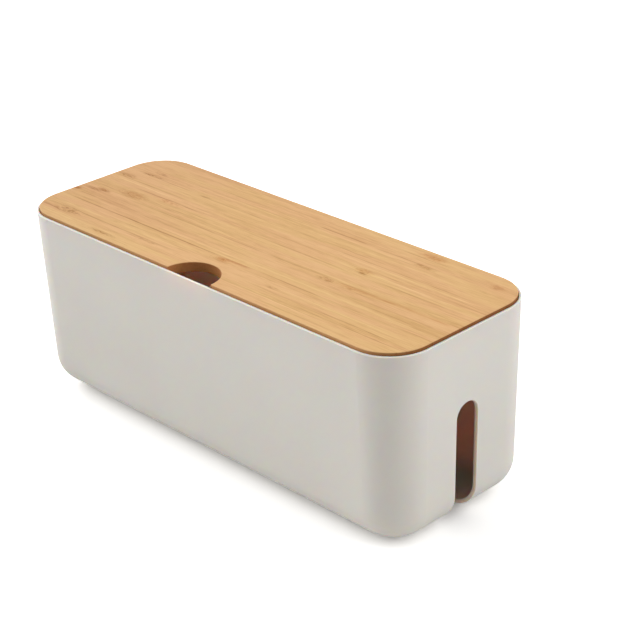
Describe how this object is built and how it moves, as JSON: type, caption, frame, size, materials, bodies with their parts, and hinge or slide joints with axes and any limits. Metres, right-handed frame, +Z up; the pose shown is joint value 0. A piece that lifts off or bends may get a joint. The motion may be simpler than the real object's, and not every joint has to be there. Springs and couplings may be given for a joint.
{
  "type": "cable management box",
  "caption": "Long open-topped moulded box with rounded corners, an arched cable slot in each end wall, anti-slip pads and a lift-off bamboo lid with a finger notch.",
  "frame": {"origin": "on the surface that the box stands on, under the middle of the box", "axes": "+X along the box, +Z up, the lid's finger notch towards -Y"},
  "size_m": [0.295, 0.1084, 0.1139],
  "materials": {
    "moulded_plastic": "warm light-grey moulded plastic with a fine matt texture",
    "bamboo": "carbonised bamboo strips glued edge to edge, sanded and thinly oiled",
    "pad_rubber": "grey soft rubber disc"
  },
  "bodies": {
    "box": {"box_shell": "moulded_plastic", "anti_slip_pad_1": "pad_rubber", "anti_slip_pad_2": "pad_rubber", "anti_slip_pad_3": "pad_rubber", "anti_slip_pad_4": "pad_rubber"},
    "lid": {"lid_strip_1": "bamboo", "lid_strip_2": "bamboo", "lid_strip_3": "bamboo", "lid_strip_4": "bamboo", "lid_strip_5": "bamboo", "lid_front_strip_left": "bamboo", "lid_front_strip_right": "bamboo"}
  },
  "joints": [
    {"name": "lid_lift", "type": "slide", "parent": "box", "child": "lid", "axis": [0, 0, 1], "range_m": [0, 0.1]}
  ]
}
